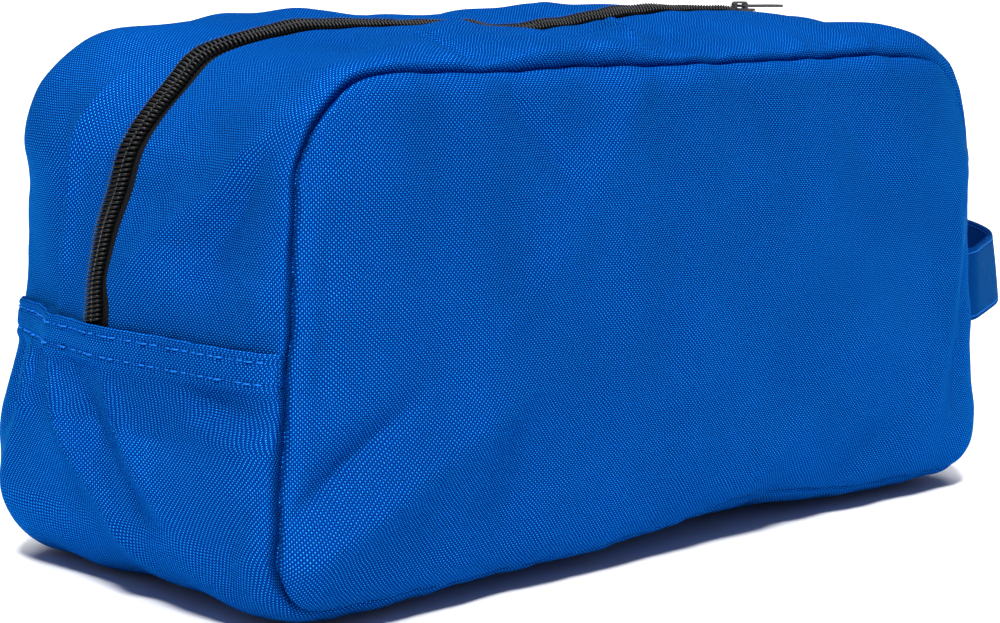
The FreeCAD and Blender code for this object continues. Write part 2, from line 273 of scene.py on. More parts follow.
EDGE_FRONT = Stations([
    (on_base(0), 2.4), (on_base(38), 3), (on_base(75), 4), (on_base(104), 4), (on_base(133), 4.6),
    (on_base(-60), 1.8), (on_base(-105), 2.2), (on_base(-130), 5.5), (on_base(-150), 6.5),
    (corner(RIGHT, False), 4.5), (on_side(RIGHT, 40), 6), (on_side(RIGHT, 91), 5),
    (on_side(RIGHT, 142), 11.5), (corner(RIGHT, True), 14.5),
    (on_top(110), 6.5), (on_top(40), 5.5), (on_top(-12), 5.5), (on_top(-30), 7.5),
    (on_top(-70), 8.2), (on_top(-92), 4.6), (on_top(-112), 6.5),
    (corner(LEFT, True), 5), (on_side(LEFT, 130), 3.6), (on_side(LEFT, 91), 3.6),
    (on_side(LEFT, 40), 6.5), (corner(LEFT, False), 5.5)])
EDGE_BACK = Stations([
    (on_base(0), 3), (on_base(-38), 4), (on_base(140), 5), (on_base(-140), 6),
    (on_side(RIGHT, 40), 7), (on_side(RIGHT, 91), 7), (on_side(RIGHT, 150), 8),
    (on_top(100), 6), (on_top(60), 8), (on_top(0), 8), (on_top(-60), 8.5), (on_top(-118), 6),
    (corner(LEFT, True), 11.4), (on_side(LEFT, 150), 9.5), (on_side(LEFT, 132), 4.5),
    (on_side(LEFT, 104), 0), (on_side(LEFT, 86), 1.5), (on_side(LEFT, 72), 7.5),
    (on_side(LEFT, 55), 11.5), (on_side(LEFT, 38), 14), (corner(LEFT, False), 11)])
DOME_FRONT = Stations([
    (on_base(0), 0), (corner(RIGHT, False), 0), (on_side(RIGHT, 45), 3), (on_side(RIGHT, 91), 2),
    (on_side(RIGHT, 148), 1.5), (corner(RIGHT, True), 0.6),
    (on_top(124), 2.6), (on_top(96), 1.2), (on_top(45), -0.6), (on_top(5), 1.5),
    (on_top(-25), 2.6), (on_top(-50), 0.6), (on_top(-110), -2),
    (corner(LEFT, True), -1), (on_side(LEFT, 130), -2), (on_side(LEFT, 91), -1),
    (on_side(LEFT, 45), 3), (corner(LEFT, False), -0.5)])
DOME_BACK = Stations([
    (on_base(0), 0), (corner(RIGHT, False), 0), (on_side(RIGHT, 45), 3), (on_side(RIGHT, 91), 3),
    (on_side(RIGHT, 150), 4), (on_top(130), -1), (on_top(100), -3), (on_top(60), 5),
    (on_top(10), 6.4), (on_top(-45), 4.4), (on_top(-85), 7.2), (on_top(-120), 4.6),
    (corner(LEFT, True), 3), (on_side(LEFT, 150), 3), (on_side(LEFT, 120), 1),
    (on_side(LEFT, 91), 0), (on_side(LEFT, 45), 4), (corner(LEFT, False), 1)])
# How far the zip wanders from the middle of the gusset
DRIFT = Stations([
    (on_base(0), 0), (on_side(RIGHT, 91), 0), (on_top(60), 0.4), (on_top(-60), 1.5),
    (corner(LEFT, True), 3.2), (on_side(LEFT, 91), 4.2), (on_side(LEFT, 50), 1)])


def soft_abs(t, round_by):
    return (np.sqrt(t * t + round_by ** 2) - round_by) / (math.sqrt(1 + round_by ** 2) - round_by)


def crest(x):
    """Section of a fold in stiff cloth: a fairly sharp top with long, hollow sides."""
    return np.exp(0.35 - np.sqrt(1.9 * x * x + 0.35 ** 2))


FOLD_DEPTH = 1.7                       # how strongly every fold stands out


class Folds:
    """Ridges and hollows of stiff cloth, each from one place of a flat chart to another."""

    def __init__(self, *folds):
        self.folds = folds

    def __call__(self, a, b):
        total = np.zeros(np.broadcast(a, b).shape)
        for (a0, b0), (a1, b1), width, height in self.folds:
            da, db = a1 - a0, b1 - b0
            length = math.hypot(da, db)
            along = ((a - a0) * da + (b - b0) * db) / length ** 2
            across = ((a - a0) * db - (b - b0) * da) / length
            ends = between(along, 0.0, 1.0, 0.09)
            taper = width * (0.7 + 0.6 * np.clip(along, 0, 1))
            total += FOLD_DEPTH * height * ends * crest(across / taper)
        return total


def top_fold(x0, y0, x1, y1, width, height):
    return (on_top(x0), y0), (on_top(x1), y1), width, height


def end_fold(side, z0, y0, z1, y1, width, height):
    return (on_side(side, z0), y0), (on_side(side, z1), y1), width, height


GUSSET_FOLDS = Folds(
    top_fold(16, -20, -22, -76, 5, 3.2),
    top_fold(38, -28, -2, -76, 9, -2.8),
    top_fold(-2, -24, -34, -54, 8, -1.3),
    top_fold(98, -24, 62, -72, 12, 1.0),
    top_fold(128, -26, 108, -70, 8, -1.0),
    top_fold(-84, -34, -96, -80, 5, -3.0),
    top_fold(-36, -4, -118, -66, 13, 2.4),
    top_fold(-108, -26, -140, -66, 8, -1.4),
    top_fold(70, 66, 20, 20, 14, 0.8),
    top_fold(-40, 60, -80, 12, 14, -0.6),
    top_fold(-100, 66, -120, 20, 12, 0.3),
    end_fold(LEFT, 168, -72, 106, -8, 9, 3.8),
    end_fold(LEFT, 154, -66, 112, -38, 9, -3.2),
    end_fold(LEFT, 120, -78, 92, -60, 7, 1.8),
    end_fold(LEFT, 166, 24, 96, 27, 5, 3.2),
    end_fold(LEFT, 150, 38, 96, 42, 8, -2.4),
    end_fold(LEFT, 160, 10, 104, 13, 6, -1.2),
    end_fold(LEFT, 76, 27, 22, -8, 6, 3.4),
    end_fold(LEFT, 76, 12, 30, -22, 7, -1.8),
    end_fold(LEFT, 75, -8, 32, -38, 7, 2.6),
    end_fold(LEFT, 75, -46, 69, -92, 5, -2.3),
    end_fold(LEFT, 66, -44, 58, -90, 8, 3.0),
    end_fold(LEFT, 78, 46, 57, 38, 4, 2.2),
    end_fold(LEFT, 78, 61, 52, 57, 4, -2.2),
    end_fold(LEFT, 70, 32, 22, 66, 6, 2.0),
    end_fold(LEFT, 48, -72, 16, -56, 7, -1.8),
    end_fold(RIGHT, 146, -10, 98, -52, 10, -2.0),
    end_fold(RIGHT, 140, -36, 98, -66, 6, 1.2),
    end_fold(RIGHT, 146, 20, 98, 46, 9, -1.8),
    end_fold(RIGHT, 150, 34, 100, 62, 6, 1.3),
    end_fold(RIGHT, 76, 16, 26, 38, 8, 3.0),
    end_fold(RIGHT, 76, -8, 24, -24, 8, 2.4),
    end_fold(RIGHT, 74, -34, 30, -50, 8, -2.4),
    end_fold(RIGHT, 72, 44, 40, 66, 5, -2.0),
)


def hem_drop(s):
    """Distance below the hem's folded edge, at either end."""
    left = s - (on_side(LEFT, FOLD) - OUTLINE.length * (s < 0))
    right = on_side(RIGHT, FOLD) - s
    return np.where(np.abs(left) < np.abs(right), left, right)


def hem_offset(s, y):
    """Outer face of the lower gusset above its middle layer: the hem is two more layers, stitched down."""
    drop = hem_drop(s)
    layers = 1.3 / (1 + np.exp((drop - HEM_HIGH) / 0.5))
    rounded = -1.1 * np.clip(1 - drop / 1.4, 0, 1) ** 2
    rows = sum(-0.75 * bell(drop, row, 0.9) for row in HEM_ROWS)
    slack = bell(drop, 0, 6) * (0.4 + 0.3 * wave(y, (23, 14, 39), 8))
    return CLOTH + layers + rounded + rows + slack


def hem_gathers(s, y):
    """Small puckers that the hem's stitches draw in the cloth below them."""
    total = 0
    for side in (LEFT, RIGHT):
        below = (on_side(side, FOLD) - s) * (1 if side > 0 else -1)
        fade = np.exp(-np.maximum(below - HEM_HIGH, 0) / 11.0) * (below > 1)
        total = total + fade * 0.6 * wave(y, (9.5, 6.1, 14.0), 21 + side)
    return total


def puckered(away):
    """How strongly the stitches of the seam that far away pucker the cloth."""
    return np.exp(-away / 12.0) * rise(away, 2.5)


def swell_near(away):
    """Cloth that stands over the groove of its seam."""
    return rise(away, 0.45) * np.exp(-away / 6.0)


def sunk(away):
    """How deep the seam pulls the cloth in, at that distance from it."""
    return SEAM_SINK * np.exp(-(away / SEAM_REACH) ** 2) - SEAM_SWELL * swell_near(away)


ZIP_CREASE, BASE_CREASE = 0.06, 0.35   # roundness of the gusset's middle, with the zip and without it
PUCKER_FRONT, PUCKER_BACK = 0.34, 0.16
SLACK = 0.7                            # broad unevenness of all the cloth
OVERHANG = 4.2
GROUND_GAP = 0.15


def gusset_height(s, t, zip_crease):
    """How far the gusset stands out from the straight line between its two seams."""
    away = DEPTH * (1 - np.abs(t))
    y = t * DEPTH
    edge = np.where(t < 0, EDGE_FRONT(s), EDGE_BACK(s))
    dome = np.where(t < 0, DOME_FRONT(s), DOME_BACK(s)) * np.sin(np.pi * (1 - np.abs(t)))
    inward = 1 - soft_abs(t, ZIP_CREASE if zip_crease else BASE_CREASE)
    folds = GUSSET_FOLDS(np.mod(s, OUTLINE.length), y) + hem_gathers(s, y)
    slack = SLACK * round_wave(s, (83, 52, 37), 2) * wave(y, (61, 43), 4)
    pucker = np.where(t < 0, PUCKER_FRONT, PUCKER_BACK) * round_wave(s, (13, 9, 21, 33), 5)
    height = edge * rise(away, 5.0) + (MIDDLE(s) - edge) * inward + dome
    return height + rise(away, 9.0) * (folds + slack) + puckered(away) * pucker


def overhang(s, t):
    """How far the cloth left of the middle of the top leans forward, over its seam."""
    flat = OUTLINE(s)[0]
    there = between(flat[..., 0], -92, -22, 7) * bell(flat[..., 1], SEAM_TOP, 14)
    near = DEPTH * (1 + t) / 7
    return OVERHANG * there * near * np.exp(1 - near)


def gusset(s, t, offset=0.0, zip_crease=True):
    """Points of the gusset's face at s and t, that far above it."""
    share = ((t + 1) / 2)[..., None]
    away = DEPTH * (1 - np.abs(t))
    height = gusset_height(s, t, zip_crease) + offset * rise(away, 2.5) - sunk(away)
    point = seam(s, -1) * (1 - share) + seam(s, 1) * share + normal_at(s) * height[..., None]
    point[..., 1] += DRIFT(s) * (1 - np.abs(t)) - np.sign(t) * np.maximum(sunk(away), 0)
    point[..., 1] -= overhang(s, t)
    point[..., 2] = np.maximum(point[..., 2], GROUND_GAP - np.minimum(offset, 0))
    return point


# ---------------------------------------------------------------- panels

PANEL_FOLDS = Folds(
    ((-182, 20), (-84, 73), 11, 4.0),
    ((-178, 38), (-134, 72), 6, -3.2),
    ((-150, 10), (-76, 44), 12, -0.9),
    ((-160, 128), (-166, 62), 6, -1.4),
    ((-100, 90), (-64, 118), 8, 1.1),
    ((70, 8), (112, 34), 10, -2.6),
    ((16, 6), (60, 44), 11, 1.8),
    ((158, 104), (150, 36), 7, -2.4),
    ((146, 110), (134, 34), 10, 2.0),
    ((166, 128), (124, 84), 10, 0.9),
    ((-98, 176), (-60, 138), 8, -2.6),
    ((-24, 176), (-64, 118), 14, 1.5),
    ((18, 178), (40, 146), 8, -1.6),
    ((60, 172), (112, 112), 18, -1.4),
)


PANEL_EDGE, PANEL_DOME = 6.6, 9.0      # how far it stands out close to the seam, and the rest
PANEL_FLAT = 0.8                       # share of the edge that the handle's upper corner loses
PANEL_DROOP = 1.6                      # how far its cloth hangs over the lower seam


def panel_height(x, z, away, flat):
    """How far a panel stands out from its seam plane, away from the seam by that much."""
    edge = PANEL_EDGE * (1 - PANEL_FLAT * flat) * rise(away, 5.0)
    dome = PANEL_DOME * rise(away, 42.0)
    slack = SLACK * wave(x + 0.4 * z, (131, 77, 59), 12) * wave(z - 0.3 * x, (90, 57), 14)
    pucker = 0.25 * puckered(away) * wave(x + z, (14, 19, 31), 15)
    return edge + dome + rise(away, 10.0) * (PANEL_FOLDS(x, z) + slack) + pucker


def seam_near(face, side):
    """How far points are from the sewn seam, measured flat, and which way is outward there."""
    s = np.linspace(0, OUTLINE.length, 3000)
    rim = seam(s, side)
    tree = KDTree(len(s))
    for i, (x, _, z) in enumerate(rim):
        tree.insert((x, 0, z), i)
    tree.balance()
    nearest = [tree.find((x, 0, z))[1] for x, _, z in face.reshape(-1, 3)]
    out = normal_at(s)[nearest].reshape(face.shape)
    away = np.abs(((face - rim[nearest].reshape(face.shape)) * out).sum(-1))
    return away, out


def seam_patch(side):
    """Grid that fills a panel's outline, by blending its four rims inwards."""
    places = [OUTLINE.nearest(x * 400, z * 400 + 90) for x, z in ((-1, -1), (1, -1), (1, 1), (-1, 1))]
    s0, s1, s2, s3 = places
    wide, high = HALF_LOW + HALF_TOP, SEAM_TOP - SEAM_LOW
    u = graded(0, wide) / wide
    v = graded(0, high) / high
    low = seam(s0 - OUTLINE.length + (s1 - s0 + OUTLINE.length) * u, side)
    top = seam(s3 + (s2 - s3) * u, side)
    right = seam(s1 + (s2 - s1) * v, side)
    left = seam(s0 + (s3 - s0) * v, side)
    u, v = (a[..., None] for a in np.meshgrid(u, v, indexing="ij"))
    rims = low[:, None] * (1 - v) + top[:, None] * v + left[None] * (1 - u) + right[None] * u
    lower = (low[0] * (1 - u) + low[-1] * u) * (1 - v)
    upper = (top[0] * (1 - u) + top[-1] * u) * v
    return rims - lower - upper


def panel(side):
    """Grid of a panel's face, and its place in the flat cloth."""
    flat = seam_patch(side)
    away, out = seam_near(flat, side)
    x, z = flat[..., 0], flat[..., 2]
    handle_corner = bell(x, 172, 30) * bell(z, 160, 32) * (side < 0)
    height = panel_height(x * -side, z, away, handle_corner)
    cloth = (flat + out * 2.2 * np.exp(-away / 2.5)[..., None])[..., [0, 2, 1]] * (1, 1, 0)
    face = flat - out * np.maximum(sunk(away), 0)[..., None]
    face[..., 1] += side * (height - sunk(away))
    face[..., 2] -= PANEL_DROOP * np.exp(-(away - 8) ** 2 / 60) * bell(face[..., 2], SEAM_LOW, 26)
    return face, cloth


# ---------------------------------------------------------------- meshes

def grid_faces(rows, columns, start, flip):
    """Quads of a grid of points that starts at that index."""
    index = start + np.arange(rows * columns).reshape(rows, columns)
    a, b, c, d = index[:-1, :-1], index[1:, :-1], index[1:, 1:], index[:-1, 1:]
    order = (a, d, c, b) if flip else (a, b, c, d)
    return np.stack([q.ravel() for q in order], -1)


def rim_faces(rows, columns, flip):
    """Quads that join the rims of a front grid and a back grid that follows it."""
    index = np.arange(rows * columns).reshape(rows, columns)
    rim = np.concatenate([index[0, :-1], index[:-1, -1], index[-1, :0:-1], index[:0:-1, 0]])
    following = np.roll(rim, -1)
    under = rows * columns
    order = (rim, following, following + under, rim + under)
    quads = np.stack(order, -1)
    return quads[:, ::-1] if flip else quads


def grid_normals(points):
    """Unit normals at the points of a grid."""
    du = np.gradient(points, axis=0)
    dv = np.gradient(points, axis=1)
    normal = np.cross(du, dv)
    return normal / np.maximum(np.linalg.norm(normal, axis=-1, keepdims=True), 1e-9)


def mesh_object(name, points, faces, material, cloth=None):
    """A mesh from points in millimetres."""
    name = "soft_" + name
    mesh = bpy.data.meshes.new(name)
    points = np.asarray(points, float).reshape(-1, 3) * MM
    mesh.from_pydata(points.tolist(), [], [list(map(int, f)) for f in faces])
    if cloth is not None:
        attribute = mesh.attributes.new("cloth", "FLOAT_VECTOR", "POINT")
        attribute.data.foreach_set("vector", np.asarray(cloth, np.float32).ravel())
    mesh.materials.append(material)
    mesh.validate()
    mesh.polygons.foreach_set("use_smooth", [True] * len(mesh.polygons))
    mesh.update()
    obj = bpy.data.objects.new(name, mesh)
    bpy.context.scene.collection.objects.link(obj)
    return obj


def cloth_object(name, points, cloth, thickness, outward, material):
    """A sheet of cloth with an inner face and closed rims. outward is a point far outside it."""
    rows, columns = points.shape[:2]
    normal = grid_normals(points)
    middle = points[rows // 2, columns // 2]
    flip = np.dot(normal[rows // 2, columns // 2], np.subtract(outward, middle)) < 0
    normal = -normal if flip else normal
    inner = points - normal * thickness
    faces = np.concatenate([grid_faces(rows, columns, 0, flip),
                            grid_faces(rows, columns, rows * columns, not flip),
                            rim_faces(rows, columns, not flip)])
    both = np.concatenate([points.reshape(-1, 3), inner.reshape(-1, 3)])
    piece = mesh_object(name, both, faces, material, np.concatenate([cloth.reshape(-1, 3)] * 2))
    piece.data.set_sharp_from_angle(angle=RIM_ANGLE)
    return piece


# ---------------------------------------------------------------- materials

class Nodes:
    """Short ways to write a node material."""

    def __init__(self, name):
        self.material = bpy.data.materials.new(name)
        self.material.use_nodes = True
        self.tree = self.material.node_tree
        self.shader = self.tree.nodes["Principled BSDF"]

    def new(self, kind, **settings):
        node = self.tree.nodes.new(kind)
        for key, value in settings.items():
            setattr(node, key, value)
        return node

    def link(self, source, target):
        self.tree.links.new(source, target)

    def math(self, operation, a, b=None, clamp=False):
        node = self.new("ShaderNodeMath", operation=operation, use_clamp=clamp)
        for socket, value in zip(node.inputs, (a, b)):
            if value is None:
                continue
            if isinstance(value, (int, float)):
                socket.default_value = value
            else:
                self.link(value, socket)
        return node.outputs[0]

    def mix(self, factor, a, b, blend="MIX"):
        node = self.new("ShaderNodeMix", data_type="RGBA", blend_type=blend)
        for socket, value in zip((node.inputs[0], node.inputs[6], node.inputs[7]), (factor, a, b)):
            if isinstance(value, (int, float)):
                socket.default_value = value
            elif isinstance(value, tuple):
                socket.default_value = (*value, 1.0)
            else:
                self.link(value, socket)
        return node.outputs[2]

    def ramp(self, value, low, high):
        node = self.new("ShaderNodeMapRange", interpolation_type="SMOOTHSTEP")
        self.link(value, node.inputs[0])
        node.inputs[1].default_value, node.inputs[2].default_value = low, high
        return node.outputs[0]

    def noise(self, vector, scale, detail=2.0):
        node = self.new("ShaderNodeTexNoise")
        node.inputs["Scale"].default_value = scale
        node.inputs["Detail"].default_value = detail
        self.link(vector, node.inputs["Vector"])
        return node.outputs[0]

    def bump(self, height, distance, strength, normal=None):
        node = self.new("ShaderNodeBump")
        node.inputs["Strength"].default_value = strength
        node.inputs["Distance"].default_value = distance * MM
        self.link(height, node.inputs["Height"])
        if normal is not None:
            self.link(normal, node.inputs["Normal"])
        return node.outputs[0]

    def place(self):
        return self.new("ShaderNodeTexCoord").outputs["Object"]

    def cloth(self):
        """u and v in millimetres of flat cloth."""
        vector = self.new("ShaderNodeAttribute", attribute_name="cloth").outputs["Vector"]
        split = self.new("ShaderNodeSeparateXYZ")
        self.link(vector, split.inputs[0])
        return vector, split.outputs[0], split.outputs[1]

    def fixed(self, **values):
        for key, value in values.items():
            self.shader.inputs[key.replace("_", " ")].default_value = value


SHEEN = (0.05, 0.58, 1.0, 1.0)         # colour of the yarn's shine
SHADED_YARN = np.array([0.1, 0.8, 1.0])      # the slot's colour times this is the yarn on top in every other cell: painted shade, a little darker, and less red
LIT_YARN = np.array([0.2, 1.18, 1.4])      # and times this, the yarn on top in the cells between: painted light, lighter
BLACK = (0.0, 0.0, 0.0)


def slot_colour(name, factor=1.0):
    """A material slot's colour, times one factor or one for each of red, green and blue."""
    found = [m for m in frame["record"]["materials"] if m["slot"] == name]
    return tuple(float(c) for c in np.multiply(found[0]["base_color"][:3], factor))


def woven(name, slot, pitch, bright, deep, tone=1.0):
    """Plain weave of shiny yarn: crowned floats with painted shade between them, every other one painted
    lighter, with a painted highlight on its crowns.
    """
    n = Nodes(name)
    vector, u, v = n.cloth()
    drift = n.math("MULTIPLY", n.math("SUBTRACT", n.noise(vector, 0.12), 0.5), 1.1)
    across = n.math("SINE", n.math("MULTIPLY", n.math("ADD", u, drift), math.pi / pitch))
    along = n.math("SINE", n.math("MULTIPLY", n.math("ADD", v, drift), math.pi / pitch))
    product = n.math("MULTIPLY", across, along)
    crown = n.math("POWER", n.math("ABSOLUTE", product), 0.5)
    float_up = n.ramp(product, 0.4, 0.95)
    # Painted shade: the colour darkened by deep where the crowns fall away between the yarns.
    gap = slot_colour(slot, deep * tone)
    under = slot_colour(slot, tone * SHADED_YARN)
    over = slot_colour(slot, tone * LIT_YARN)
    # The crowns take the lit or the shaded copy of the yarn's colour, with painted shade where the crown
    # falls away.
    colour = n.mix(crown, gap, n.mix(n.ramp(product, -0.2, 0.2), under, over))
    uneven = n.math("MULTIPLY", n.ramp(n.noise(vector, 0.9, 3.0), 0.25, 0.75), 0.35)
    # Painted highlight: bright laid unevenly on the crowns of the lighter floats.
    painted_glint = n.math("MULTIPLY", float_up, n.math("ADD", 0.65, uneven))
    colour = n.mix(painted_glint, colour, bright)
    broad = n.ramp(n.noise(vector, 0.02, 2.0), 0.3, 0.7)
    colour = n.mix(broad, n.mix(0.1, colour, BLACK), colour)
    n.link(colour, n.shader.inputs["Base Color"])
    fine = n.math("MULTIPLY", n.noise(vector, 7.0, 2.0), 0.12)
    height = n.math("ADD", n.math("ADD", crown, n.math("MULTIPLY", float_up, 0.4)), fine)
    n.link(n.bump(height, 0.22, 0.8), n.shader.inputs["Normal"])
    rough = n.math("SUBTRACT", 0.5, n.math("MULTIPLY", float_up, 0.22))
    n.link(rough, n.shader.inputs["Roughness"])
    n.fixed(Specular_IOR_Level=0.0, Metallic=0.52, Specular_Tint=SHEEN)
    n.fixed(Sheen_Weight=0.06, Sheen_Roughness=0.3, Sheen_Tint=SHEEN)
    return n.material


def zip_tape_material():
    """Twilled tape: slanted cords, painted darker down between them as shade."""
    n = Nodes("zip_tape_cloth")
    _, u, v = n.cloth()
    slant = n.math("ADD", u, n.math("MULTIPLY", n.math("ABSOLUTE", v), 0.9))
    rib = n.math("ABSOLUTE", n.math("SINE", n.math("MULTIPLY", slant, math.pi / 1.5)))
    yarn = n.math("ABSOLUTE", n.math("SINE", n.math("MULTIPLY", v, math.pi / 0.8)))
    height = n.math("MULTIPLY", n.math("POWER", rib, 0.6), n.math("POWER", yarn, 0.25))
    # Painted shade: darker where the cords' height falls away, lighter on their tops.
    colour = n.mix(height, slot_colour("zip_tape", 0.06), slot_colour("zip_tape", 0.4))
    n.link(colour, n.shader.inputs["Base Color"])
    n.link(n.bump(height, 0.35, 0.9), n.shader.inputs["Normal"])
    n.fixed(Roughness=0.6, Specular_IOR_Level=0.08)
    return n.material


def coil_material():
    """Black nylon."""
    n = Nodes("zip_coil_nylon")
    grain = n.noise(n.place(), 900.0, 2.0)
    colour = n.mix(grain, slot_colour("zip_coil", 0.05), slot_colour("zip_coil", 0.2))
    n.link(colour, n.shader.inputs["Base Color"])
    n.link(n.bump(grain, 0.05, 0.3), n.shader.inputs["Normal"])
    n.fixed(Roughness=0.3, Specular_IOR_Level=0.2)
    return n.material


def metal_material():
    """Dark enamel on metal."""
    n = Nodes("slider_enamel")
    worn = n.noise(n.place(), 400.0, 3.0)
    colour = n.mix(worn, slot_colour("slider_metal"), slot_colour("slider_metal", 1.8))
    n.link(colour, n.shader.inputs["Base Color"])
    rough = n.math("ADD", 0.26, n.math("MULTIPLY", worn, 0.15))
    n.link(rough, n.shader.inputs["Roughness"])
    n.link(n.bump(worn, 0.03, 0.3), n.shader.inputs["Normal"])
    n.fixed(Metallic=0.0, Specular_IOR_Level=0.6)
    return n.material


def binding_material():
    """Ribbed tape, painted darker in the hollows between its ribs as shade."""
    n = Nodes("binding_cloth")
    u = n.cloth()[1]
    rib = n.math("ABSOLUTE", n.math("SINE", n.math("MULTIPLY", u, math.pi / 0.7)))
    # Painted shade: half the colour down in the hollows between the ribs.
    colour = n.mix(rib, slot_colour("binding", 0.5), slot_colour("binding"))
    n.link(colour, n.shader.inputs["Base Color"])
    n.link(n.bump(rib, 0.12, 0.6), n.shader.inputs["Normal"])
    n.fixed(Roughness=0.8)
    return n.material


def thread_material(name, dark, bright):
    n = Nodes(name)
    grain = n.noise(n.place(), 2500.0, 1.0)
    n.link(n.mix(grain, dark, bright), n.shader.inputs["Base Color"])
    n.fixed(Roughness=0.45, Specular_IOR_Level=0.0, Metallic=0.4)
    return n.material


def floor_material():
    n = Nodes("pale_floor")
    soft = n.noise(n.place(), 3.0, 2.0)
    n.link(n.mix(soft, (0.86, 0.86, 0.86), (0.9, 0.9, 0.9)), n.shader.inputs["Base Color"])
    n.fixed(Roughness=0.9, Specular_IOR_Level=0.1)
    return n.material


# bright is the colour of the painted highlight on the floats; deep is the share of colour left in the
# painted shade between the yarns.
SHELL = woven("shell_weave", "shell", WEAVE, bright=(0.015, 0.43, 1.0), deep=0.14)
STRAP = woven("strap_weave", "strap", 0.6, bright=(0.002, 0.09, 0.45), deep=0.3, tone=0.62)
TAPE = zip_tape_material()
COIL = coil_material()
METAL = metal_material()
BINDING = binding_material()
THREAD = thread_material("sewing_thread", (0.005, 0.11, 0.48), (0.012, 0.22, 0.82))
ZIP_THREAD = thread_material("zip_thread", (0.012, 0.012, 0.013), (0.14, 0.14, 0.15))


# ---------------------------------------------------------------- cloth pieces

FAR = 900.0                            # well outside the bag


def panel_piece(name, side):
    face, cloth = panel(side)
    piece = cloth_object(name, face, cloth, CLOTH, (0, side * FAR, 0), SHELL)
    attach(piece, "bag")
    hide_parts(name)


def gusset_grid(s, t, offset=0.0, zip_crease=True):
    """Grid of the gusset's face for rows s and columns t, and its place in the flat cloth."""
    ss, tt = np.meshgrid(s, t, indexing="ij")
    points = gusset(ss, tt, offset, zip_crease)
    steps = np.linalg.norm(np.diff(points, axis=1), axis=2)
    across = np.concatenate([np.zeros((len(s), 1)), np.cumsum(steps, axis=1)], axis=1)
    return points, np.stack([ss, across - across[:, -1:], ss * 0], -1)


def stretch(low, high):
    """Evenly spaced rows of the grid."""
    return np.linspace(low, high, max(2, int(abs(high - low) / STEP)))


def lower_gusset():
    """Base and both ends, with the folded hem as a thicker, rounded edge."""
    first, last = on_side(LEFT, FOLD) - OUTLINE.length, on_side(RIGHT, FOLD)
    hem = np.concatenate([[0, 0.25], np.arange(0.6, HEM_HIGH + 4, 0.6)])
    between_hems = stretch(first + hem[-1] + 1, last - hem[-1] - 1)
    s = np.concatenate([first + hem, between_hems, last - hem[::-1]])
    t = graded(-DEPTH, DEPTH) / DEPTH
    offset = hem_offset(s[:, None], t[None] * DEPTH)
    points, cloth = gusset_grid(s, t, offset, False)
    piece = cloth_object("base_gusset", points, cloth, CLOTH, (0, 0, -FAR), SHELL)
    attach(piece, "bag")
    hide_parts("base_gusset")


def upper_range(end):
    """s from the middle of the top to behind the hem, on the end with that sign of x."""
    return stretch(on_top(0), on_side(end, FOLD - 10))


def mouth_blend(piece):
    """Bakes the piece's place into its points."""
    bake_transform(piece)


def upper_names(kind, side, end):
    """Name of a piece of the upper gusset, and of the nodes that it stands for."""
    front = "front" if side < 0 else "back"
    where = "left" if end < 0 else "right"
    return f"{kind}_{front}_{where}", [f"{kind}_{front}_{where}", f"{kind}_{front}_lip"]


def zip_strip(side, end):
    """Cloth of the upper gusset, from its seam to its folded edge beside the zip."""
    name, nodes = upper_names("zip_strip", side, end)
    edge = ZIP_EDGE_FRONT if side < 0 else ZIP_EDGE_BACK
    points, cloth = gusset_grid(upper_range(end), graded(side * DEPTH, side * edge) / DEPTH)
    piece = cloth_object(name, points, cloth, CLOTH, (0, 0, FAR), SHELL)
    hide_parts(*nodes)
    mouth_blend(piece)


TAPE_WIDE, TAPE_THICK = 15.0, 0.6
TAPE_GAP = 0.1                         # below the cloth
COIL_SHIFT = 0.9                       # coil's middle, behind the zip's middle


def zip_tape(side, end):
    """Tape under the strip's folded edge, up to the middle of the coil."""
    name, nodes = upper_names("zip_tape", side, end)
    t = np.linspace(side * TAPE_WIDE, side * 0.3 + COIL_SHIFT, 18) / DEPTH
    points, cloth = gusset_grid(upper_range(end), t, -CLOTH - TAPE_GAP)
    piece = cloth_object(name, points, cloth, TAPE_THICK, (0, 0, FAR), TAPE)
    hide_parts(*nodes)
    mouth_blend(piece)


COIL_PITCH = 1.5                       # tooth to tooth on one side
COIL_WIRE = 0.56
# A tooth from its root on the tape, over the top and down past the middle: out from the coil's
# middle, and up from the tape
TOOTH = ((3.7, -0.3), (4.0, 0.6), (3.6, 1.6), (2.7, 2.25),
         (1.7, 2.15), (0.8, 1.5), (-0.3, 1.0), (-0.6, -0.1))
TOOTH_THICK = (0.8, 1, 1, 1, 1.05, 1.3, 1.35, 0.9)
TOOTH_SEWN = (2.5, 2.85)               # where the sewing crosses it
ZIP_STITCH = 0.8


def tube(path, radius, sides=6):
    """Points and faces of a closed tube along a path."""
    ahead = np.gradient(path, axis=0)
    ahead /= np.linalg.norm(ahead, axis=1, keepdims=True)
    across = np.cross(ahead, np.roll(ahead, 1, axis=1) + 0.3)
    across /= np.linalg.norm(across, axis=1, keepdims=True)
    for i in range(1, len(path)):
        across[i] = across[i - 1] - ahead[i] * np.dot(across[i - 1], ahead[i])
        across[i] /= np.linalg.norm(across[i])
    other = np.cross(ahead, across)
    angles = np.arange(sides) * 2 * np.pi / sides
    rings = [p + r * (np.outer(np.cos(angles), a) + np.outer(np.sin(angles), o))
             for p, r, a, o in zip(path, radius, across, other)]
    faces = []
    for start in range(0, (len(path) - 1) * sides, sides):
        for k in range(sides):
            j = (k + 1) % sides
            faces.append((start + k, start + j, start + sides + j, start + sides + k))
    last = (len(path) - 1) * sides
    faces.append(tuple(range(sides))[::-1])
    faces.append(tuple(last + k for k in range(sides)))
    return np.vstack(rings), faces


def gathered(parts):
    """Many small meshes as one list of points and faces."""
    points, faces, start = [], [], 0
    for p, f in parts:
        points.append(p)
        faces += [tuple(i + start for i in q) for q in f]
        start += len(p)
    return np.vstack(points), faces


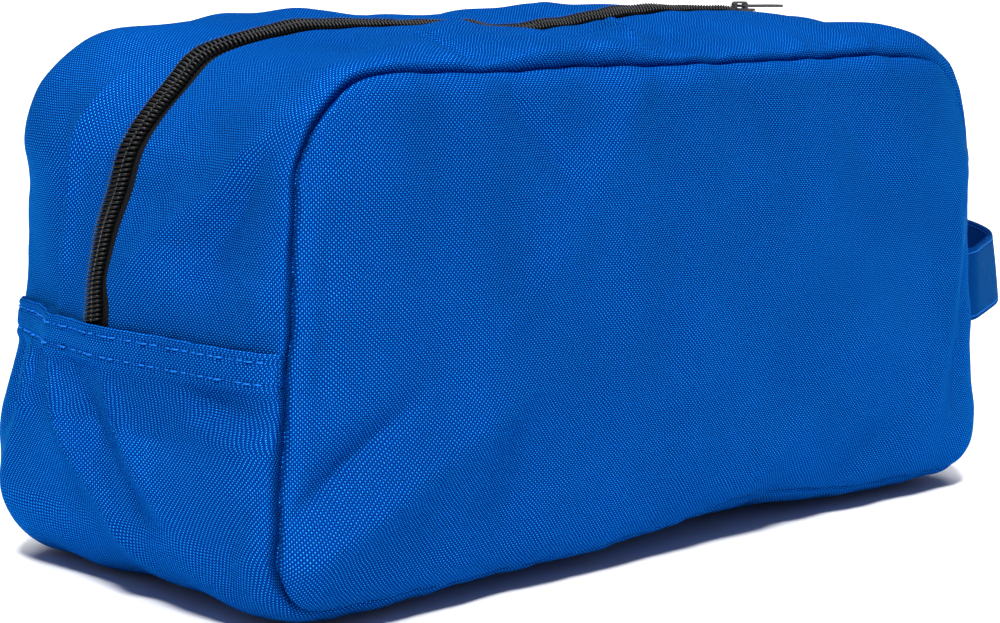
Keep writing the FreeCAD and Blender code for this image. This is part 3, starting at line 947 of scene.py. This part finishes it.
def zip_coil(side, end):
    """One half of the coil: a turn of wire for each tooth, over the tape's edge."""
    name, nodes = upper_names("zip_coil", side, end)
    s0, s1 = on_top(0), on_side(end, FOLD)
    shift = 0.5 * COIL_PITCH if side > 0 else 0.0
    count = int(abs(s1 - s0) / COIL_PITCH)
    ahead = np.sign(s1 - s0)
    y, up = np.transpose(TOOTH)
    y = y * side + COIL_SHIFT
    slant = np.linspace(-0.5, 0.45, len(TOOTH)) * side * end
    radius = COIL_WIRE * np.array(TOOTH_THICK)
    parts = []
    for i in range(count):
        s = s0 + ahead * (0.4 + shift + i * COIL_PITCH) + slant
        path = gusset(s, y / DEPTH, -CLOTH) + normal_at(s) * up[:, None]
        parts.append(tube(path, radius))
    points, faces = gathered(parts)
    piece = mesh_object(name, points, faces, COIL)
    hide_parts(*nodes)
    mouth_blend(piece)


def zip_sewing(side, end):
    """The row of stitches that holds a half of the coil on its tape."""
    whole = on_side(end, FOLD) - on_top(0)
    s = on_top(0) + np.arange(0, abs(whole), 0.5) * np.sign(whole)
    y, up = TOOTH_SEWN
    out = normal_at(s)
    line = gusset(s, np.full(len(s), (y * side + COIL_SHIFT) / DEPTH), -CLOTH) + out * up
    name = upper_names("zip_sewing", side, end)[0]
    piece = stitches(name, line, out, ZIP_STITCH, COIL_PITCH - ZIP_STITCH, 0.16, ZIP_THREAD)
    mouth_blend(piece)


def stitches(name, line, outward, length, gap, radius, material):
    """Short runs of thread along a dense line, sunk at their ends."""
    at = np.concatenate([[0], np.cumsum(np.linalg.norm(np.diff(line, axis=0), axis=1))])
    parts = []
    start = gap
    while start + length < at[-1]:
        q = start + length * np.array([0, 0.12, 0.5, 0.88, 1])
        path = np.stack([np.interp(q, at, line[:, k]) for k in range(3)], -1)
        out = np.stack([np.interp(q, at, outward[:, k]) for k in range(3)], -1)
        lift = radius * np.array([-1.6, 0.1, 0.45, 0.1, -1.6])
        parts.append(tube(path + out * lift[:, None], radius * np.array([0.7, 1, 1.1, 1, 0.7])))
        start += length + gap
    points, faces = gathered(parts)
    return mesh_object(name, points, faces, material)


def hem_stitches():
    """Two rows of sewing along the hem, at each end."""
    for end, where in ((LEFT, "left"), (RIGHT, "right")):
        for row, down in enumerate(HEM_ROWS):
            s = np.full(180, on_side(end, FOLD - down))
            t = np.linspace(-0.955, 0.955, 180)
            line = gusset(s, t, hem_offset(s, t * DEPTH) + 0.15, False)
            piece = stitches(f"hem_stitch_{where}_{row}", line, normal_at(s), 2.5, 1.3, 0.29, THREAD)
            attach(piece, "bag")


# Sections of what lies inside a seam: depth from the seam into the bag, along the outline's normal
# and across it
BINDING_PROFILE = ((4.0, 3.4), (3.8, 4.6), (4.6, 5.4), (10.6, 5.2),
                   (11.4, 4.4), (10.6, 3.4), (6.6, 3.1))
ALLOWANCE_PROFILE = ((2.6, 2.8), (2.8, 5.6), (4.4, 6.6), (8.6, 6.2),
                     (9.0, 4.4), (8.6, 2.6), (4.6, 1.8))


def seam_roll(name, side, profile, material):
    """Cloth that runs all round a seam, inside the bag."""
    s = np.linspace(0, OUTLINE.length, 600)[:-1]
    rim = seam(s, side)
    rings = [rim - normal_at(s) * deep - np.array([0, side * y, 0]) for deep, y in profile]
    points = np.stack(rings, 1)
    rows, columns = points.shape[:2]
    index = np.arange(rows * columns).reshape(rows, columns)
    after = np.roll(index, -1, 0)
    beside = np.roll(index, -1, 1)
    quads = np.stack([index, after, np.roll(after, -1, 1), beside], -1).reshape(-1, 4)
    quads = quads if side > 0 else quads[:, ::-1]
    cloth = np.stack([np.repeat(s[:, None], columns, 1), points[..., 1], points[..., 1] * 0], -1)
    piece = mesh_object(name, points, quads, material, cloth.reshape(-1, 3))
    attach(piece, "bag")
    return piece


def seam_insides(where, side):
    """The black tape bound round a seam, and the cloth turned in with it."""
    binding = seam_roll(f"seam_binding_{where}", side, BINDING_PROFILE, BINDING)
    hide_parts(f"seam_binding_{where}")
    allowance = seam_roll(f"seam_allowance_{where}", side, ALLOWANCE_PROFILE, SHELL)


# ---------------------------------------------------------------- handle

STRAP_HALF = (LOOP_HIGH[2] - LOOP_LOW[2]) / 2
STRAP_MIDDLE = (LOOP_HIGH[2] + LOOP_LOW[2]) / 2
LOOP_REACH = LOOP_HIGH[0] + 9.5        # where its sides would meet, if the loop had corners
LOOP_HALF = 33.0
STRAP_SEWN = 0.87                      # where its edges are stitched, from middle to edge
# Section of the outer half of the strap, from its lower to its upper edge: across, and out
STRAP_PROFILE = [(-1, 0.0), (-0.985, 0.7), (-0.93, 1.0), (-0.87, 0.72), (-0.8, 1.0), (-0.4, 1.1),
                 (0, 1.15), (0.4, 1.1), (0.8, 1.0), (0.87, 0.72), (0.93, 1.0), (0.985, 0.7)]


def strap_seam():
    """x of the seam that the strap is sewn into."""
    return seam(np.array([on_side(RIGHT, 82.0)]), -1)[0, 0]


def smoothed(line, reach):
    """A line with each point the mean of those that far round it."""
    padded = np.vstack([np.repeat(line[:1], reach, 0), line, np.repeat(line[-1:], reach, 0)])
    kernel = np.ones(2 * reach + 1) / (2 * reach + 1)
    return np.stack([np.convolve(padded[:, k], kernel, "valid") for k in (0, 1)], -1)


def handle_line():
    """Middle line of the strap in plan, from the front seam round to the back seam."""
    seam_x = strap_seam()
    corners = [(seam_x - 5, -DEPTH + 0.8), (seam_x + 6, -DEPTH + 0.4), (LOOP_REACH, -LOOP_HALF),
               (LOOP_REACH, LOOP_HALF), (seam_x + 6, DEPTH - 0.4), (seam_x - 5, DEPTH - 0.8)]
    turns = filleted(corners, (1, 24, 56, 56, 24, 1), 0.6)
    turns = turns[turns[:, 0] > seam_x - 3]
    line = np.vstack([corners[0], turns, corners[-1]])
    at = np.concatenate([[0], np.cumsum(np.linalg.norm(np.diff(line, axis=0), axis=1))])
    q = np.linspace(0, at[-1], int(at[-1] / 1.2))
    even = np.stack([np.interp(q, at, line[:, k]) for k in (0, 1)], -1)
    return q, smoothed(even, 9)


def strap_points(q, line, across, out):
    """Points on the strap: across from -1 at its lower edge to 1 at its upper, out from its middle."""
    ahead = np.gradient(line, axis=0)
    ahead /= np.linalg.norm(ahead, axis=1, keepdims=True)
    normal = np.stack([ahead[:, 1], -ahead[:, 0]], -1)
    share = q / q[-1]
    free = np.sin(np.pi * share) ** 0.8
    middle = STRAP_MIDDLE - 1.0 * bell(share, 0.3, 0.14) + 4.5 * bell(share, 0.62, 0.2)
    lean = -2.4 * free * across
    z = middle + STRAP_HALF * across * np.sqrt(1 - (0.1 * free) ** 2)
    xy = line + normal * (out + lean)[:, None]
    return np.stack([xy[:, 0], xy[:, 1], z], -1)


def strap_stitches(q, line):
    """Rows of sewing along both edges of the strap, on both its faces."""
    rows = []
    for edge, where in ((-1, "low"), (1, "high")):
        for face, label in ((-1, "inner"), (1, "outer")):
            sewn = strap_points(q, line, edge * STRAP_SEWN, face * 0.78)
            above = strap_points(q, line, edge * STRAP_SEWN, face * 1.78)
            name = f"strap_stitch_{where}_{label}"
            rows.append(stitches(name, sewn[4:-4], (above - sewn)[4:-4], 2.4, 0.8, 0.22, THREAD))
    return rows


def handle():
    """The strap: one long ring of cloth round a flat section, and its sewing."""
    q, line = handle_line()
    profile = STRAP_PROFILE + [(1, 0.0)] + [(-a, -o) for a, o in STRAP_PROFILE[1:]]
    points = np.stack([strap_points(q, line, a, o) for a, o in profile], 1)
    rows, columns = points.shape[:2]
    index = np.arange(rows * columns).reshape(rows, columns)
    beside = np.roll(index, -1, 1)
    quads = np.stack([index[:-1], beside[:-1], beside[1:], index[1:]], -1).reshape(-1, 4)
    faces = [tuple(f) for f in quads] + [tuple(index[0][::-1]), tuple(index[-1])]
    along, across = np.meshgrid(q, [a * STRAP_HALF for a, _ in profile], indexing="ij")
    cloth = np.stack([along, across, along * 0], -1).reshape(-1, 3)
    strap = mesh_object("handle_strap", points, faces, STRAP, cloth)
    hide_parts("handle_loop", "handle_tab_front", "handle_tab_back")
    for piece in [strap] + strap_stitches(q, line):
        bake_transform(piece)


# ---------------------------------------------------------------- slider

def enamel_slider():
    """The frame's own slider and pull tab, enamelled."""
    for name in ("zip_slider", "pull_tab"):
        node = frame["nodes"][name]
        node.data.materials.clear()
        node.data.materials.append(METAL)


# ---------------------------------------------------------------- studio

CAMERA_PLACE = (-561.9, -602.1, 208.1)
CAMERA_YAW, CAMERA_PITCH, CAMERA_ROLL = 42.17, 8.96, 0.713   # degrees; pitch is downwards
LENS, SENSOR = 79.3, 36.0
FLOOR_HALF = 30.0                      # metres


def camera():
    data = bpy.data.cameras.new("camera")
    data.lens, data.sensor_width = LENS, SENSOR
    data.clip_end = 20
    obj = bpy.data.objects.new("camera", data)
    bpy.context.scene.collection.objects.link(obj)
    yaw, pitch, roll = (math.radians(a) for a in (CAMERA_YAW, CAMERA_PITCH, CAMERA_ROLL))
    ahead = Vector((math.sin(yaw) * math.cos(pitch), math.cos(yaw) * math.cos(pitch), -math.sin(pitch)))
    right = Vector((math.cos(yaw), -math.sin(yaw), 0))
    up = right.cross(ahead)
    turned = math.cos(roll) * right + math.sin(roll) * up
    lifted = -math.sin(roll) * right + math.cos(roll) * up
    obj.matrix_world = Matrix((turned, lifted, -ahead)).transposed().to_4x4()
    obj.location = Vector(CAMERA_PLACE) * MM
    bpy.context.scene.camera = obj


def soft_sun(name, place, spread, power):
    """A sun that shines from that direction, spread over that many degrees."""
    data = bpy.data.lights.new(name, "SUN")
    data.angle, data.energy = math.radians(spread), power
    obj = bpy.data.objects.new(name, data)
    bpy.context.scene.collection.objects.link(obj)
    obj.rotation_euler = (-Vector(place)).to_track_quat("-Z", "Y").to_euler()


def lay_floor():
    mesh = bpy.data.meshes.new("floor")
    corners = [(x * FLOOR_HALF, y * FLOOR_HALF, 0) for x, y in ((-1, -1), (1, -1), (1, 1), (-1, 1))]
    mesh.from_pydata(corners, [], [(0, 1, 2, 3)])
    mesh.materials.append(floor_material())
    floor = bpy.data.objects.new("floor", mesh)
    bpy.context.scene.collection.objects.link(floor)


def studio():
    camera()
    soft_sun("key", (-0.5, -0.5, 1.1), 10, 3.9)
    soft_sun("top", (0.1, 0.1, 1.0), 60, 3.0)
    world = bpy.data.worlds.new("studio")
    world.use_nodes = True
    background = world.node_tree.nodes["Background"]
    background.inputs["Color"].default_value = (1, 1, 1, 1)
    background.inputs["Strength"].default_value = 0.16
    bpy.context.scene.world = world
    bpy.context.scene.view_settings.view_transform = "Standard"
    lay_floor()


studio()
panel_piece("front_panel", -1)
panel_piece("back_panel", 1)
lower_gusset()
for side in (-1, 1):
    for end in (LEFT, RIGHT):
        zip_strip(side, end)
        zip_tape(side, end)
        zip_coil(side, end)
        zip_sewing(side, end)
    seam_insides("front" if side < 0 else "back", side)
hem_stitches()
handle()
enamel_slider()
